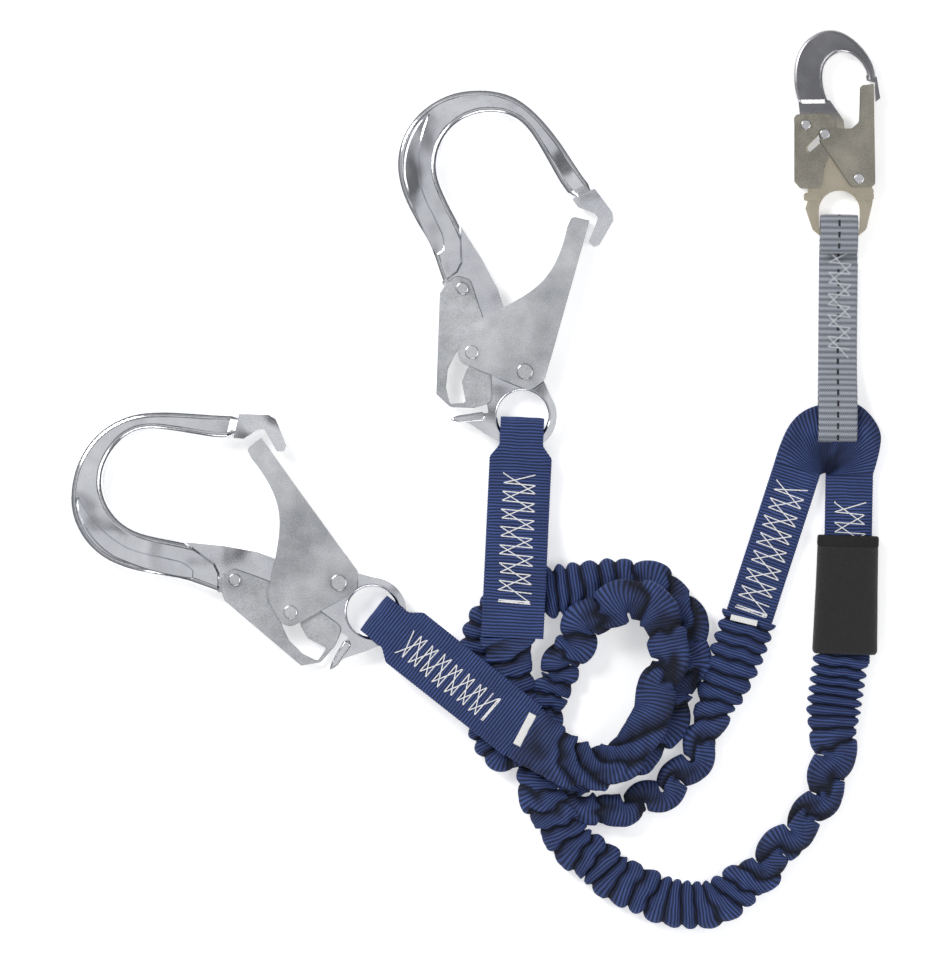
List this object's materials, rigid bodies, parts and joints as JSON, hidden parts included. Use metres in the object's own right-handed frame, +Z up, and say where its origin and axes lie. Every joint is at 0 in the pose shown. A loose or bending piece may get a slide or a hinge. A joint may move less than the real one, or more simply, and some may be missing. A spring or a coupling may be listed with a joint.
{
  "type": "shock absorbing lanyard",
  "caption": "Twin-leg shock absorbing lanyard: two large rebar hooks on elastic tubular legs, joined by a webbing connector to a locking snap hook, laid flat.",
  "frame": {"origin": "middle of the footprint of the hooks and straps, on the table", "axes": "+Z up, +X towards the snap hook's side, +Y towards the bows of the upper and snap hooks"},
  "size_m": [0.5269, 0.5755, 0.0331],
  "materials": {
    "forged_steel": "polished zinc-plated forging",
    "plated_steel": "matte grainy zinc plate",
    "rivet_steel": "bright rivet heads",
    "spring_steel": "drawn wire",
    "snap_forging": "dark bow, straw-tinted shank",
    "snap_plate": "straw-tinted zinc plate",
    "navy_webbing": "ribbed nylon webbing",
    "navy_sheath": "pleated tubular nylon",
    "white_core": "woven core",
    "grey_webbing": "polyester webbing with a black tracer",
    "black_cover": "black twill",
    "black_binding": "black ribbed tape",
    "label_stock": "white printed-label stock, blank"
  },
  "bodies": {
    "webbing": {"upper_eye_strap": "navy_webbing", "lower_eye_strap": "navy_webbing", "connector_strap": "grey_webbing", "left_top_strap": "navy_webbing", "right_top_strap": "navy_webbing", "legs_bight": "navy_webbing", "label_cover": "black_cover", "label_cover_binding": "black_binding", "label_pack": "label_stock", "upper_leg_sheath": "navy_sheath", "upper_leg_core": "white_core", "lower_leg_sheath": "navy_sheath", "lower_leg_core": "white_core"},
    "upper_hook": {"upper_hook_body": "forged_steel", "upper_hook_gate_pivot": "rivet_steel", "upper_hook_lever_pivot": "rivet_steel", "upper_hook_gate_spring": "spring_steel", "upper_hook_lever_spring": "spring_steel"},
    "upper_hook_gate": {"upper_hook_gate": "plated_steel", "upper_hook_lock_pin": "rivet_steel"},
    "upper_hook_lock_lever": {"upper_hook_lock_lever": "plated_steel"},
    "lower_hook": {"lower_hook_body": "forged_steel", "lower_hook_gate_pivot": "rivet_steel", "lower_hook_lever_pivot": "rivet_steel", "lower_hook_gate_spring": "spring_steel", "lower_hook_lever_spring": "spring_steel"},
    "lower_hook_gate": {"lower_hook_gate": "plated_steel", "lower_hook_lock_pin": "rivet_steel"},
    "lower_hook_lock_lever": {"lower_hook_lock_lever": "plated_steel"},
    "snap_hook": {"snap_hook_body": "snap_forging", "snap_hook_gate_pivot": "rivet_steel", "snap_hook_lever_pivot": "rivet_steel", "snap_hook_gate_spring": "spring_steel", "snap_hook_lever_spring": "spring_steel"},
    "snap_hook_gate": {"snap_hook_gate": "snap_plate", "snap_hook_lock_pin": "rivet_steel"},
    "snap_hook_lock_lever": {"snap_hook_lock_lever": "snap_plate"}
  },
  "joints": [
    {"name": "upper_hook_swing", "type": "hinge", "parent": "webbing", "child": "upper_hook", "pos_m": [0.03019, -0.03078, 0.0096], "axis": [0.9989, -0.0471, 0], "range_deg": [0, 90]},
    {"name": "upper_hook_gate_turn", "type": "hinge", "parent": "upper_hook", "child": "upper_hook_gate", "pos_m": [0.03236, 0.01299, 0.0096], "axis": [0, 0, 1], "range_deg": [0, 38], "stiffness_Nm_per_rad": 0.15, "springref_deg": -22.92},
    {"name": "upper_hook_lever_turn", "type": "hinge", "parent": "upper_hook", "child": "upper_hook_lock_lever", "pos_m": [-0.00822, 0.06711, 0.0096], "axis": [0, 0, 1], "range_deg": [0, 10.7]},
    {"name": "lower_hook_swing", "type": "hinge", "parent": "webbing", "child": "lower_hook", "pos_m": [-0.055, -0.15226, 0.0096], "axis": [0.617, 0.7869, 0], "range_deg": [0, 90]},
    {"name": "lower_hook_gate_turn", "type": "hinge", "parent": "lower_hook", "child": "lower_hook_gate", "pos_m": [-0.08843, -0.12394, 0.0096], "axis": [0, 0, 1], "range_deg": [0, 38], "stiffness_Nm_per_rad": 0.15, "springref_deg": -22.92},
    {"name": "lower_hook_lever_turn", "type": "hinge", "parent": "lower_hook", "child": "lower_hook_lock_lever", "pos_m": [-0.15604, -0.122, 0.0096], "axis": [0, 0, 1], "range_deg": [0, 10.7]},
    {"name": "snap_hook_swing", "type": "hinge", "parent": "webbing", "child": "snap_hook", "pos_m": [0.23666, 0.1013, 0.0072], "axis": [1, -0.0087, 0], "range_deg": [0, 90]},
    {"name": "snap_hook_gate_turn", "type": "hinge", "parent": "snap_hook", "child": "snap_hook_gate", "pos_m": [0.24942, 0.13841, 0.0072], "axis": [0, 0, 1], "range_deg": [0, 20], "stiffness_Nm_per_rad": 0.08, "springref_deg": -22.92},
    {"name": "snap_hook_lever_turn", "type": "hinge", "parent": "snap_hook", "child": "snap_hook_lock_lever", "pos_m": [0.21501, 0.17341, 0.0072], "axis": [0, 0, 1], "range_deg": [0, 8.06]}
  ],
  "couplings": [
    {"joint": "upper_hook_lever_turn", "follows": "upper_hook_gate_turn", "ratio": 0.28},
    {"joint": "lower_hook_lever_turn", "follows": "lower_hook_gate_turn", "ratio": 0.28},
    {"joint": "snap_hook_lever_turn", "follows": "snap_hook_gate_turn", "ratio": 0.4}
  ]
}
